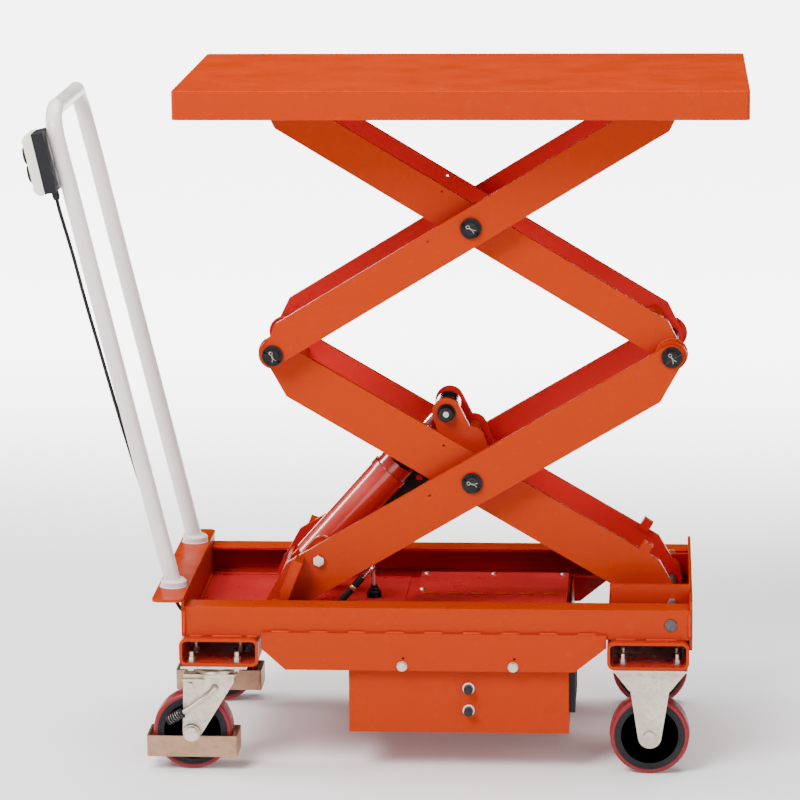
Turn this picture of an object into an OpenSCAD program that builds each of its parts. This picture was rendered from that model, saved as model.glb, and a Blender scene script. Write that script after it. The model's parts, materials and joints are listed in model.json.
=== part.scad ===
// Mobile scissor lift table with a double scissor, a battery hydraulic unit and a push handle.
// +X points away from the handle, +Y across the table, +Z up; the floor is at z = 0.

/* [Table] */
// Length of the table top
table_l = 905; // [880:1:940]
// Width of the table top
table_w = 500; // [480:1:520]
// Depth of the table's rim
table_t = 46; // [40:1:50]
// Distance from the right edge of the table to the fixed pivots
table_edge = 118.5; // [100:0.5:130]

/* [Scissor] */
// Pin to pin length of every arm
arm_span = 770; // [760:1:775]
// Angle of the arms above the horizontal in the rest pose
rest_angle = 33; // [25:0.1:40]
// Height of the fixed pivot above the floor
pivot_z = 251; // [248:0.5:254]
// Thickness of the arm plates
arm_t = 10; // [8:1:10]
// Outer face of the outer arms, from the middle plane
outer_y = 120; // [116:1:122]
// Outer face of the inner arms, from the middle plane
inner_y = 88; // [84:1:90]
// Radius of the pivot pins
pin_r = 11; // [9:1:12]

/* [Base] */
// Half width of the base over its rails
base_hw = 220; // [215:1:225]
// Left end of the base rails
base_x0 = -326; // [-330:1:-322]
// Right end of the base rails
base_x1 = 490; // [480:1:500]
// Height of the side rails
rail_h = 50; // [48:1:52]
// Width of the side rails' flanges
rail_w = 45; // [40:1:48]

/* [Casters] */
// Radius of the wheels
wheel_r = 65; // [60:1:65]
// Width of the wheels
wheel_w = 42; // [34:1:44]
// Distance from the middle plane to the wheels
track = 194; // [188:1:200]

/* [Handle] */
// Radius of the handle's tube
tube_r = 13.5; // [12:0.5:15]
// Distance from the middle plane to the handle's legs
handle_hw = 150; // [140:1:155]
// Height of the top bar's centre
handle_top = 1074; // [1000:1:1100]

/* [Hidden] */

$fn = 48;
fit = 0.05;              // running clearance of pins, on the radius
gap = 0.3;               // clearance between faces that slide past each other

// Colours
orange = [0.86, 0.35, 0.13];
white = [0.93, 0.91, 0.88];
zinc = [0.76, 0.73, 0.68];
steel = [0.45, 0.45, 0.47];
chrome = [0.85, 0.86, 0.88];
black = [0.06, 0.06, 0.07];
grey = [0.25, 0.25, 0.28];
red = [0.72, 0.13, 0.18];
tan_metal = [0.7, 0.56, 0.44];

// Scissor geometry in the XZ plane
pivot_x = 460;
half = arm_span / 2;
step_x = half * cos(rest_angle);
step_z = half * sin(rest_angle);
base_right = [pivot_x, pivot_z];
low_mid = [pivot_x - step_x, pivot_z + step_z];
mid_z = pivot_z + 2 * step_z;
high_mid = [pivot_x - step_x, pivot_z + 3 * step_z];
top_z = pivot_z + 4 * step_z;
top_right = [pivot_x, top_z];
table_drop = 28;                       // from the table's surface down to its pivots
table_z = top_z + table_drop;
table_x1 = pivot_x + table_edge;
table_x0 = table_x1 - table_l;

// Arm outlines: end radius, and the corner's place from the end pin and from the pin line
low_end_r = 20;
low_corner = [57, 52];
high_end_r = 18;
high_corner = [35, 41];
boss_r = 24;

// Ram pins, along and above the pin line of the lower outer and the lower inner arm
ram_low_place = [-283, 27];
ram_high_place = [-93.5, 61.5];
second_lobe = [-35, 46];
function on_arm(place, angle) = [low_mid[0] + place[0] * cos(angle) - place[1] * sin(angle),
    low_mid[1] + place[0] * sin(angle) + place[1] * cos(angle)];
ram_low = on_arm(ram_low_place, rest_angle);
ram_high = on_arm(ram_high_place, -rest_angle);
ram_len = norm(ram_high - ram_low);
ram_angle = atan2(ram_high[1] - ram_low[1], ram_high[0] - ram_low[0]);
barrel_r = 31;
barrel_tail = 34;
barrel_head = 168;
gland_end = 188;
rod_r = 16;
bore_r = 23;
eye_r = 21;

// Base heights
rail_t = 5;
rail_z0 = pivot_z - rail_h / 2;
rail_z1 = rail_z0 + rail_h;
tray_t = 3;
channel_z1 = rail_z0;
tray_z1 = rail_z0 + tray_t;
tray_hw = base_hw - rail_w;
channel_z0 = 180;
skirt_z0 = 173;
roller_r = rail_h / 2 - rail_t - gap;
table_roller_r = 17.5;
skirt_t = 6;
skirt_z1 = 235;
box_x0 = -60.5;
box_x1 = 296.5;
box_z0 = 66;
box_z1 = rail_z0;
box_hw = 212;
lid_x0 = 18;
lid_x1 = 291;
lid_t = 2;
lid_z1 = 238;
flange_z = 292;
left_x = -331;

// Casters
axle_z = wheel_r;
swivel_x = -278;
trail = 39;
fixed_x = 427;
fixed_row = 19;                         // the fixed casters' bolts stand between the fork plates
fork_in = 26;
fork_out = 30;
guard_t = 3.5;
plate_t = 4;
plate_z1 = channel_z0;
plate_z0 = plate_z1 - plate_t;
fork_top = 163;

// Handle and control box
foot_x = -351;
lean_x = -530;
lean_z = 1052;
box_mid = [-531.5, 995.5];
box_lean = 12.2;
box_y = -handle_hw;
control_h = 99;
control_w = 62;

// Pressure hose and lowering valve beside the ram
hose_x = -89;
hose_y = -10;
hose_route = [[-92, hose_y, 223], [-82, hose_y, 239], [-66, hose_y, 257], [-50.5, hose_y, 275]];
valve_x = -36;
valve_y = 30;

// Route of the control cable, from the gland to the grommet in the end plate
cable_r = 3;
cable_route = [[-526, -150, 930], [-521, -150, 908], [-503, -150, 842], [-485, -150, 768],
    [-464, -148, 687], [-443, -144, 604], [-422, -136, 522], [-400, -128, 440],
    [-374, -124, 360], [-359, -122, 316], [-354, -122, 289], [-353, -122, 270],
    [-348, -122, 252], [-336, -122, 238]];

// ---------- helpers ----------

// A plate standing in the XZ plane, from y0 to y1, with a 2D outline of x and z
module upright(y0, y1) {
    translate([0, y1, 0])
        rotate([90, 0, 0])
            linear_extrude(y1 - y0)
                children();
}

// A round bar along Y from y0 to y1 at a point of the XZ plane
module bar_y(place, r, y0, y1) {
    translate([place[0], y1, place[1]])
        rotate([90, 0, 0])
            cylinder(r = r, h = y1 - y0);
}

// Puts children on an arm's pin line; y is left as it is
module on_line(centre, angle) {
    translate([centre[0], 0, centre[1]])
        rotate([0, -angle, 0])
            children();
}

module both_sides() {
    children();
    mirror([0, 1, 0])
        children();
}

module box_between(low, high) {
    translate(low)
        cube(high - low);
}

module rounded_rect(size, r) {
    translate([r, r])
        offset(r)
            square([size[0] - 2 * r, size[1] - 2 * r]);
}

// Smooth curve through points: Catmull-Rom between each pair
function curve_point(p, i, t) =
    let (a = p[max(i - 1, 0)], b = p[i], c = p[i + 1], d = p[min(i + 2, len(p) - 1)])
    0.5 * (2 * b + (c - a) * t + (2 * a - 5 * b + 4 * c - d) * t * t
        + (3 * b - a - 3 * c + d) * t * t * t);
function smooth(p, parts) = concat(
    [for (i = [0 : len(p) - 2], j = [0 : parts - 1]) curve_point(p, i, j / parts)],
    [p[len(p) - 1]]);
function unit(v) = v / norm(v);

// A tube of constant radius swept along points, as one closed polyhedron
module swept_tube(path, r, sides, up = [0, 1, 0]) {
    n = len(path);
    rings = [for (i = [0 : n - 1])
        let (t = unit(path[min(i + 1, n - 1)] - path[max(i - 1, 0)]),
            u = unit(cross(up, t)), v = cross(t, u))
        for (k = [0 : sides - 1]) path[i] + r * (cos(360 * k / sides) * u + sin(360 * k / sides) * v)];
    walls = [for (i = [0 : n - 2], k = [0 : sides - 1])
        let (a = i * sides + k, b = i * sides + (k + 1) % sides)
        [a, a + sides, b + sides, b]];
    caps = [[for (k = [0 : sides - 1]) k], [for (k = [sides - 1 : -1 : 0]) (n - 1) * sides + k]];
    polyhedron(points = rings, faces = concat(walls, caps), convexity = 6);
}

// A hexagon head along Y
module hex_y(place, across, y0, y1) {
    translate([place[0], y1, place[1]])
        rotate([90, 0, 0])
            cylinder(r = across / 2 / cos(30), h = y1 - y0, $fn = 6);
}

// ---------- scissor arms ----------

// Outline of an arm that rises to the right: its left end stands above the pin line
module arm_outline(end_r, corner) {
    hull()
        for (side = [-1, 1]) {
            translate([side * half, 0])
                circle(end_r, $fn = 32);
            translate([side * (half - corner[0]), -side * (corner[1] - 5)])
                circle(5, $fn = 24);
        }
}

module arm_pair(outer_face, end_r, corner, flip, holes) {
    both_sides()
        difference() {
            upright(-outer_face, -outer_face + arm_t)
                mirror([flip ? 1 : 0, 0])
                    arm_outline(end_r, corner);
            for (hole = holes)
                bar_y([hole[0], 0], hole[1], -outer_face - 1, -outer_face + arm_t + 1);
            // grease hole beside the centre pin
            bar_y([-70, 20], 2, -outer_face - 1, -outer_face + arm_t + 1);
        }
}

// Spacer rings welded on an inner arm's outer face
module spacers(places, hole_r) {
    for (s = places)
        both_sides()
            difference() {
                bar_y([s, 0], boss_r, -outer_y + arm_t + gap, -inner_y);
                bar_y([s, 0], hole_r, -outer_y, -inner_y + 1);
            }
}

module lower_inner_arms() {
    color(orange)
        on_line(low_mid, -rest_angle) {
            arm_pair(inner_y, low_end_r, low_corner, true,
                [[-half, pin_r], [0, pin_r], [half, 10 + fit]]);
            spacers([-half, 0], pin_r);
            // stop lugs on the top edges
            both_sides()
                box_between([half - 94, -inner_y, 46], [half - 77, -inner_y + 16, 66]);
        }
}

module lower_inner_tubes() {
    color(orange)
        on_line(low_mid, -rest_angle) {
            difference() {
                bar_y([0, 0], 30, -inner_y + arm_t, inner_y - arm_t);
                bar_y([0, 0], 24, -inner_y, inner_y);
            }
            difference() {
                bar_y([-half + 40, -12], 15, -inner_y + arm_t, inner_y - arm_t);
                bar_y([-half + 40, -12], 12, -inner_y, inner_y);
            }
        }
}

// Two ears for the ram's rod on the torsion tube, tied by a second tube
module ram_bracket() {
    color(orange)
        on_line(low_mid, -rest_angle) {
            both_sides()
                difference() {
                    upright(-54, -45)
                        difference() {
                            union() {
                                hull() {
                                    translate(ram_high_place)
                                        circle(24, $fn = 32);
                                    translate([-48, 20])
                                        circle(18, $fn = 32);
                                    translate([-14, 22])
                                        circle(18, $fn = 32);
                                }
                                hull() {
                                    translate(second_lobe)
                                        circle(22, $fn = 32);
                                    translate([-50, 20])
                                        circle(18, $fn = 32);
                                    translate([4, 26])
                                        circle(14, $fn = 32);
                                }
                            }
                            circle(30, $fn = 64);
                        }
                    bar_y(ram_high_place, 10, -60, 0);
                    bar_y(second_lobe, 12, -60, 0);
                }
            bar_y(second_lobe, 12, -54, 54);
        }
}

// A pin end with its black washer and split pin, on the near side
module pin_end(place, far_end) {
    bar_y(place, pin_r, -outer_y - 8, far_end);
    bar_y(place, 17, -outer_y - 4, -outer_y - gap);
    bar_y([place[0], place[1]], pin_r + 3, -outer_y - 5.5, -outer_y - 4);
    // split pin across the end
    translate([place[0] - 16, -outer_y - 7, place[1] - 3])
        rotate([0, 90, 0])
            cylinder(r = 1.5, h = 32, $fn = 16);
}

module lower_inner_pins() {
    color(black) {
        on_line(low_mid, -rest_angle) {
            both_sides()
                pin_end([0, 0], -inner_y + arm_t);
            // the left pin runs right through
            both_sides()
                pin_end([-half, 0], 0);
        }
        on_line(low_mid, -rest_angle) {
            both_sides() {
                bar_y(ram_high_place, 10, -58, -22);
                bar_y(ram_high_place, 15, -45, -22);
                difference() {
                    bar_y(ram_high_place, 12, -68, -57);
                    translate([ram_high_place[0], -65, ram_high_place[1]])
                        rotate([90, 0, 0])
                            cylinder(r = 6.5, h = 10, $fn = 6);
                }
                bar_y(ram_high_place, 15, -57, -54);
            }
        }
    }
}

module lower_outer_arms() {
    color(orange)
        on_line(low_mid, rest_angle)
            arm_pair(outer_y, low_end_r, low_corner, false,
                [[-half, 8], [0, pin_r + fit], [half, pin_r]]);
}

// Cross plate, webs, roller axles with their sleeves, and the ram's lower ears
module roller_carrier() {
    web_s = -half + 25;
    color(orange)
        on_line(low_mid, rest_angle) {
            box_between([web_s, -outer_y + arm_t, -15], [web_s + 8, outer_y - arm_t, 33]);
            both_sides() {
                difference() {
                    bar_y([-half, 0], 13, -160, -outer_y);
                    bar_y([-half, 0], 8, -162, -outer_y + 2);
                }
                // slanted web on the arm's face
                translate([-331, 0, 30])
                    rotate([0, -35.6, 0])
                        box_between([-46, -160, -7], [33, -outer_y, 7]);
                difference() {
                    upright(-50, -41)
                        hull() {
                            translate(ram_low_place)
                                circle(22, $fn = 32);
                            translate([web_s + 8, -14])
                                square([2, 46]);
                        }
                    bar_y(ram_low_place, 10, -52, -40);
                }
            }
        }
    color(steel)
        on_line(low_mid, rest_angle)
            both_sides()
                bar_y([-half, 0], 8, -213, -outer_y + arm_t);
}

module mid_right_axle() {
    color(black)
        on_line(low_mid, rest_angle)
            both_sides()
                pin_end([half, 0], 0);
}

// Hexagon bolts on the outer arms and the pin of the ram's lower ears
module arm_bolts() {
    color(zinc)
        on_line(low_mid, rest_angle)
            both_sides() {
                hex_y(ram_low_place, 17, -outer_y - 7, -outer_y);
                hex_y(ram_low_place, 24, -59, -50);
                bar_y(ram_low_place, 10, -50, 0);
            }
}

module upper_outer_arms() {
    color(orange)
        on_line(high_mid, rest_angle)
            arm_pair(outer_y, high_end_r, high_corner, false,
                [[-half, pin_r + fit], [0, pin_r + fit], [half, 10 + fit]]);
}

module upper_centre_pins() {
    color(black)
        on_line(high_mid, -rest_angle)
            both_sides()
                pin_end([0, 0], -inner_y + arm_t);
}

module upper_inner_arms() {
    color(orange)
        on_line(high_mid, -rest_angle) {
            arm_pair(inner_y, high_end_r, high_corner, true,
                [[-half, 8], [0, pin_r], [half, pin_r + fit]]);
            spacers([0], pin_r);
            spacers([half], pin_r + fit);
        }
}

module upper_inner_tubes() {
    color(orange)
        on_line(high_mid, -rest_angle) {
            for (place = [[half - 42, 12], [-half + 60, -12]])
                difference() {
                    bar_y(place, 15, -inner_y + arm_t, inner_y - arm_t);
                    bar_y(place, 12, -inner_y, inner_y);
                }
            both_sides()
                bar_y([-half, 0], 8, -104, -inner_y + arm_t - 6);
        }
}

// ---------- table ----------

module table_top() {
    skin = 3;
    color(orange)
        translate([table_x0, -table_w / 2, 0])
            difference() {
                translate([0, 0, table_z - table_t])
                    linear_extrude(table_t)
                        rounded_rect([table_l, table_w], 8);
                translate([skin, skin, table_z - table_t - 1])
                    linear_extrude(table_t - 3)
                        rounded_rect([table_l - 2 * skin, table_w - 2 * skin], 5);
            }
}

// Roller channels at the left and pivot lugs at the right, under the top plate
module table_rails() {
    top = table_z - 4;
    track_h = table_roller_r + gap;
    color(orange)
        both_sides() {
            difference() {
                box_between([table_x0 + 4, -109, top_z - track_h - 4], [-84, -90, top]);
                box_between([table_x0 + 3, -105, top_z - track_h], [-83, -89, top_z + track_h]);
            }
            for (y = [-131, -107])
                difference() {
                    upright(y, y + 8)
                        hull() {
                            translate(top_right)
                                circle(17, $fn = 32);
                            translate([pivot_x - 30, top - 2])
                                square([60, 2]);
                        }
                    bar_y(top_right, 10, y - 1, y + 9);
                }
        }
}

module table_shaft() {
    color(steel) {
        bar_y(top_right, 10, -136, 136);
        both_sides()
            bar_y(top_right, 14, -134, -131);
    }
}

// ---------- ram ----------

module ram_barrel() {
    color(orange)
        on_line(ram_low, ram_angle)
            rotate([0, 90, 0])
                translate([0, 0, -barrel_tail])
                    difference() {
                        union() {
                            cylinder(r = barrel_r, h = barrel_tail + barrel_head, $fn = 96);
                            translate([0, 0, barrel_tail + barrel_head - 12])
                                cylinder(r = barrel_r + 1.5, h = 12, $fn = 96);
                            translate([0, 0, barrel_tail + barrel_head])
                                cylinder(r = barrel_r - 2, h = gland_end - barrel_head, $fn = 96);
                            translate([0, 34, barrel_tail])
                                rotate([90, 0, 0])
                                    cylinder(r = 20, h = 68);
                        }
                        translate([0, 0, barrel_tail + 30])
                            cylinder(r = bore_r, h = barrel_head - 30, $fn = 96);
                        translate([0, 0, 40 + barrel_tail])
                            cylinder(r = rod_r + fit, h = 400, $fn = 96);
                        translate([0, 40, barrel_tail])
                            rotate([90, 0, 0])
                                cylinder(r = 10 + fit, h = 80);
                    }
}

module ram_rod() {
    piston_x = 128;
    color(chrome)
        on_line(ram_low, ram_angle) {
            rotate([0, 90, 0])
                translate([0, 0, piston_x])
                    cylinder(r = rod_r, h = ram_len - piston_x - eye_r + 3, $fn = 64);
            rotate([0, 90, 0])
                translate([0, 0, piston_x])
                    cylinder(r = bore_r - 0.1, h = 8, $fn = 96);
            difference() {
                bar_y([ram_len, 0], eye_r, -20, 20);
                bar_y([ram_len, 0], 10 + fit, -21, 21);
            }
        }
}

// Black maintenance prop clipped beside the barrel
module service_prop() {
    color(black)
        on_line(ram_low, ram_angle) {
            difference() {
                upright(36, 42)
                    translate([60, -62])
                        rounded_rect([135, 56], 8);
                bar_y([180, -48], 5, 35, 43);
            }
            for (x = [82, 142])
                box_between([x, 27, -24], [x + 12, 37, -12]);
        }
}

module roller(place, r, y0, y1, axle_r) {
    difference() {
        bar_y(place, r, y0, y1);
        bar_y(place, axle_r + fit, y0 - 1, y1 + 1);
    }
}

module base_rollers() {
    color(steel)
        both_sides()
            roller([pivot_x - 2 * step_x, pivot_z], roller_r, -212, -182, 8);
}

module table_rollers() {
    color(steel)
        both_sides()
            roller([pivot_x - 2 * step_x, top_z], table_roller_r, -103.5, -91.5, 8);
}

// ---------- base ----------

module rails() {
    color(orange)
        both_sides()
            difference() {
                upright(-base_hw, -base_hw + rail_w)
                    translate([base_x0, rail_z0])
                        square([base_x1 - base_x0, rail_h]);
                box_between([base_x0 - 1, -base_hw + rail_t, rail_z0 + rail_t],
                    [base_x1 + 1, -base_hw + rail_w + 1, rail_z1 - rail_t]);
                bar_y(base_right, 10, -base_hw - 1, -base_hw + rail_t + 1);
            }
}

module end_plates() {
    color(orange) {
        // left wall, bent outwards into the handle's flange
        box_between([left_x, -base_hw, channel_z1], [base_x0, base_hw, flange_z - 5]);
        translate([0, 0, flange_z - 5])
            linear_extrude(5)
                difference() {
                    translate([-377, -239])
                        rounded_rect([377 + base_x0, 478], 12);
                    translate([-354, -122])
                        circle(7);
                }
        // right wall
        box_between([base_x1, -base_hw, rail_z0 - 16], [base_x1 + 5, base_hw, 290]);
        // pivot boxes between the rails and the arms
        for (side = [-1, 1])
            mirror([0, side > 0 ? 1 : 0, 0]) {
                difference() {
                    box_between([363, -158, tray_z1], [base_x1, -150, side < 0 ? 302 : 276]);
                    bar_y(base_right, 10, -160, -148);
                }
                box_between([363, -150, tray_z1], [368, -121.5, side < 0 ? 298 : 272]);
                difference() {
                    bar_y(base_right, 19, -150, -inner_y - gap);
                    bar_y(base_right, 10, -152, -inner_y);
                }
            }
    }
}

module floor_tray() {
    color(orange) {
        difference() {
            box_between([base_x0, -tray_hw, rail_z0], [lid_x0, tray_hw, tray_z1]);
            translate([hose_x, hose_y, rail_z0 - 1])
                cylinder(r = 9, h = 10);
            translate([valve_x, valve_y, rail_z0 - 1])
                cylinder(r = 8.5, h = 10);
        }
        box_between([358, -tray_hw, rail_z0], [base_x1, tray_hw, tray_z1]);
    }
}

// Side skirts welded over the rails' lower edges
module skirts() {
    color(orange)
        both_sides()
            difference() {
                upright(-base_hw - skirt_t, -base_hw)
                    polygon([[-201, skirt_z1], [-201, 208], [-162.5, skirt_z0], [306, skirt_z0],
                        [357, 214], [357, skirt_z1]]);
                for (x = [27, 206.5]) {
                    bar_y([x, 181], 4, -base_hw - skirt_t - 1, -base_hw + 1);
                    bar_y([x + 2, 194], 2, -base_hw - skirt_t - 1, -base_hw + 1);
                }
            }
}

// Formed cross channels that carry the casters
module channel(x0, x1, bolts_x, bolts_y) {
    mid = (x0 + x1) / 2;
    difference() {
        upright(-235, 235)
            difference() {
                translate([x0, channel_z0])
                    rounded_rect([x1 - x0, channel_z1 - channel_z0], 12);
                translate([x0 + 5, channel_z0 + 5])
                    rounded_rect([x1 - x0 - 10, channel_z1 - channel_z0 - 10], 7);
            }
        for (x = [-1, 1], y = [-1, 1], side = [-1, 1])
            translate([bolts_x[0] + x * bolts_x[1], side * track + y * bolts_y, channel_z0 - 1])
                cylinder(r = 4, h = 8);
    }
}

module caster_channels() {
    color(orange) {
        channel(-334, -205, [swivel_x, 37], 30);
        channel(358, 490, [fixed_x, 44], fixed_row);
    }
}

module battery_box() {
    wall = 2.5;
    color(orange)
        difference() {
            box_between([box_x0, -box_hw, box_z0], [box_x1, box_hw, box_z1]);
            box_between([box_x0 + wall, -box_hw + wall, box_z0 + wall],
                [box_x1 - wall, box_hw - wall, box_z1 + 1]);
            for (z = [104, 141])
                bar_y([134, z], 6, -box_hw - 1, -box_hw + wall + 1);
            for (x = [27, 206.5], side = [-1, 1])
                bar_y([x, 181], 4, side * box_hw - 4, side * box_hw + 4);
        }
}

// Cover plate with a raised panel and a row of slots
module battery_lid() {
    color(orange)
        difference() {
            union() {
                box_between([lid_x0, -tray_hw, rail_z0], [lid_x1, tray_hw, rail_z0 + lid_t]);
                box_between([36, -165, rail_z0], [288, 165, lid_z1]);
            }
            box_between([38, -163, rail_z0 - 1], [286, 163, lid_z1 - lid_t]);
            for (i = [0 : 5])
                translate([62 + 39.5 * i, 16, rail_z0]) {
                    translate([-9, -4, 0])
                        cube([18, 8, 20]);
                    translate([-9, 0, 0])
                        cylinder(r = 4, h = 20);
                    translate([9, 0, 0])
                        cylinder(r = 4, h = 20);
                }
        }
}

module battery() {
    color(grey) {
        box_between([120, -195, 70], [285, 195, 205]);
        for (y = [-150, 150])
            translate([200, y, 205])
                cylinder(r = 8, h = 14);
    }
}

module motor() {
    color(black) {
        translate([-45, -90, 125])
            rotate([-90, 0, 0])
                translate([60, 0, -80])
                    cylinder(r = 46, h = 140, $fn = 64);
    }
}

module pump() {
    color(steel) {
        box_between([-45, -30, 80], [80, 40, 170]);
        translate([15, 40, 125])
            rotate([-90, 0, 0])
                cylinder(r = 44, h = 140, $fn = 64);
    }
}

module charger() {
    color(grey)
        for (i = [0 : 11])
            box_between([box_x1, -200 + i * 14, 98], [box_x1 + (i % 2 == 0 ? 10 : 6), -186 + i * 14, 165]);
}

// Lid screws, skirt bolts, caster bolts and the washers of the fuse holders
module frame_bolts() {
    color(zinc) {
        for (place = [[46, -152], [160, -152], [278, -152], [44, 47],
                [46, 152], [160, 152], [278, 152]])
            translate([place[0], place[1], lid_z1])
                cylinder(r1 = 5, r2 = 3.5, h = 2.5, $fn = 24);
        both_sides() {
            for (x = [27, 206.5]) {
                hex_y([x, 181], 13, -base_hw - 12, -base_hw - 7.5);
                bar_y([x, 181], 8.5, -base_hw - 7.5, -base_hw - skirt_t);
                bar_y([x, 181], 4, -base_hw - skirt_t, -box_hw + 6);
            }
            // a bolt in the pivot box
            hex_y([462, 274], 13, -164, -158);
            for (place = [[swivel_x, 37, 30], [fixed_x, 44, fixed_row]], x = [-1, 1], y = [-1, 1])
                translate([place[0] + x * place[1], -track + y * place[2], 0]) {
                    translate([0, 0, plate_z0 - 5])
                        cylinder(r = 7.5, h = 5, $fn = 6);
                    translate([0, 0, plate_z0])
                        cylinder(r = 4, h = 26);
                    translate([0, 0, channel_z0 + 5])
                        cylinder(r = 6.9, h = 1.5);
                    translate([0, 0, channel_z0 + 6.5])
                        cylinder(r = 6.4, h = 7, $fn = 6);
                }
        }
    }
}

module fuse_holders() {
    color(black)
        for (z = [104, 141]) {
            bar_y([134, z], 6, -box_hw - 14, -box_hw + 12);
            bar_y([134, z], 7.5, -box_hw - 13, -box_hw - 3);
        }
    color(white)
        for (z = [104, 141])
            difference() {
                bar_y([134, z], 9, -box_hw - 3, -box_hw);
                bar_y([134, z], 6, -box_hw - 4, -box_hw + 1);
            }
}

// Pressure hose from the floor up towards the ram, with its crimped ferrule
module hose() {
    color(black)
        swept_tube(smooth(hose_route, 4), 6, 16);
    color(chrome)
        translate(hose_route[3])
            rotate([0, 42, 0])
                cylinder(r1 = 7.5, r2 = 6.5, h = 24, $fn = 32);
}

module lowering_valve() {
    color(black)
        translate([valve_x, valve_y, 0]) {
            translate([0, 0, channel_z1 - 20])
                cylinder(r = 8.5, h = 25);
            translate([0, 0, tray_z1])
                cylinder(r = 12, h = 7);
            translate([0, 0, tray_z1 + 7])
                cylinder(r1 = 9, r2 = 7, h = 9);
        }
    color(steel)
        translate([valve_x, valve_y, tray_z1 + 16])
            cylinder(r = 2, h = 38);
}

module pivot_shaft() {
    color(steel)
        bar_y(base_right, 10, -base_hw - 1.5, base_hw + 1.5);
}

// ---------- casters ----------

module caster_plates() {
    color(zinc)
        both_sides() {
            difference() {
                box_between([swivel_x - 54, -track - 43, plate_z0], [swivel_x + 54, -track + 43, plate_z1]);
                for (x = [-37, 37], y = [-30, 30])
                    translate([swivel_x + x, -track + y, plate_z0 - 1])
                        cylinder(r = 4, h = 10);
            }
            translate([swivel_x, -track, fork_top + gap])
                cylinder(r = 26, h = plate_z0 - fork_top - gap);
        }
}

// Two fork cheeks with holes, joined at the top; drawn at y = 0
module left_fork(side) {
    wheel_x = swivel_x - trail;
    color(zinc)
        translate([0, side * track, 0]) {
            for (m = [0, 1])
                mirror([0, m, 0])
                    difference() {
                        upright(-fork_out, -fork_in)
                            difference() {
                                hull() {
                                    translate([wheel_x, axle_z])
                                        circle(15, $fn = 32);
                                    translate([-329, 150])
                                        square([82, fork_top - 150]);
                                }
                                translate([swivel_x, 141])
                                    circle(6);
                            }
                        bar_y([wheel_x, axle_z], 7, -fork_out - 1, -fork_in + 1);
                    }
            box_between([-329, -fork_in, fork_top - 4], [-247, fork_in, fork_top]);
            translate([swivel_x, 0, fork_top - 4])
                cylinder(r = 36, h = 4, $fn = 64);
            // axle with a bolt head and a nut
            bar_y([wheel_x, axle_z], 7, -fork_out - guard_t, fork_out + guard_t);
            for (m = [0, 1])
                mirror([0, m, 0]) {
                    bar_y([wheel_x, axle_z], 14, -fork_out - guard_t - 2, -fork_out - guard_t);
                    bar_y([wheel_x, axle_z], 11, -fork_out - guard_t - 7, -fork_out - guard_t - 2);
                }
            // pressed tab over the lever's stud
            box_between([-330, -fork_out - 8, 153], [-296, -fork_out, 157]);
            mirror([0, 1, 0])
                box_between([-330, -fork_out - 8, 153], [-296, -fork_out, 157]);
            // stud that stops the lever
            bar_y([-318, 146], 4, -fork_out - 4, -fork_out);
        }
}

module left_fork_near() { left_fork(-1); }
module left_fork_far() { left_fork(1); }

// Flat bar bent around the wheel
module guard(side) {
    wheel_x = swivel_x - trail;
    color(tan_metal)
        translate([wheel_x, side * track, 25])
            difference() {
                translate([-74, -fork_out - guard_t])
                    linear_extrude(35)
                        rounded_rect([148, 2 * (fork_out + guard_t)], 4);
                translate([-74 + guard_t, -fork_out, -1])
                    cube([148 - 2 * guard_t, 2 * fork_out, 40]);
                bar_y([0, axle_z - 25], 7, -60, 60);
            }
}

module guard_near() { guard(-1); }
module guard_far() { guard(1); }

// Brake lever: a bent rod with a ribbed grip, turning in the fork's hole
module lever(side) {
    hole = [swivel_x, 141];
    y0 = -fork_out - 6;
    color(zinc)
        translate([0, side * track, 0]) {
            bar_y(hole, 5, y0, -fork_in + 6);
            swept_tube(smooth([[hole[0] + 2, y0, hole[1] + 3], [hole[0] - 12, y0, hole[1] - 12],
                [hole[0] - 36, y0 - 4, hole[1] - 30], [hole[0] - 62, y0 - 5, hole[1] - 45]], 4), 4, 12);
        }
    color(grey)
        translate([hole[0] - 52, side * track + y0 - 4.8, hole[1] - 39.5])
            rotate([0, -120, 0])
                rotate([0, 0, 0])
                    for (i = [0 : 5]) {
                        translate([0, 0, i * 4.5])
                            cylinder(r = 7.5, h = 3);
                        translate([0, 0, i * 4.5])
                            cylinder(r = 6.5, h = 4.6);
                    }
}

module lever_near() { lever(-1); }
module lever_far() { lever(1); }

// Fixed casters: tapered pressed forks with flared gussets
module right_forks() {
    color(zinc)
        both_sides()
            translate([0, -track, 0]) {
                difference() {
                    box_between([fixed_x - 60, -43, plate_z0], [fixed_x + 60, 43, plate_z1]);
                    for (x = [-44, 44], y = [-fixed_row, fixed_row])
                        translate([fixed_x + x, y, plate_z0 - 1])
                            cylinder(r = 4, h = 10);
                }
                for (m = [0, 1])
                    mirror([0, m, 0])
                        difference() {
                            upright(-fork_out, -fork_in)
                                union() {
                                    hull() {
                                        translate([fixed_x, axle_z])
                                            circle(19, $fn = 32);
                                        translate([fixed_x - 36, plate_z0 - 4])
                                            square([72, 4]);
                                    }
                                    polygon([[fixed_x - 60, plate_z0], [fixed_x - 33, plate_z0 - 34],
                                        [fixed_x + 33, plate_z0 - 34], [fixed_x + 60, plate_z0]]);
                                }
                            bar_y([fixed_x, axle_z], 7, -fork_out - 1, -fork_in + 1);
                        }
                bar_y([fixed_x, axle_z], 7, -fork_out, fork_out);
                for (m = [0, 1])
                    mirror([0, m, 0])
                        bar_y([fixed_x, axle_z], 10, -fork_out - 5, -fork_out);
            }
}

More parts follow.
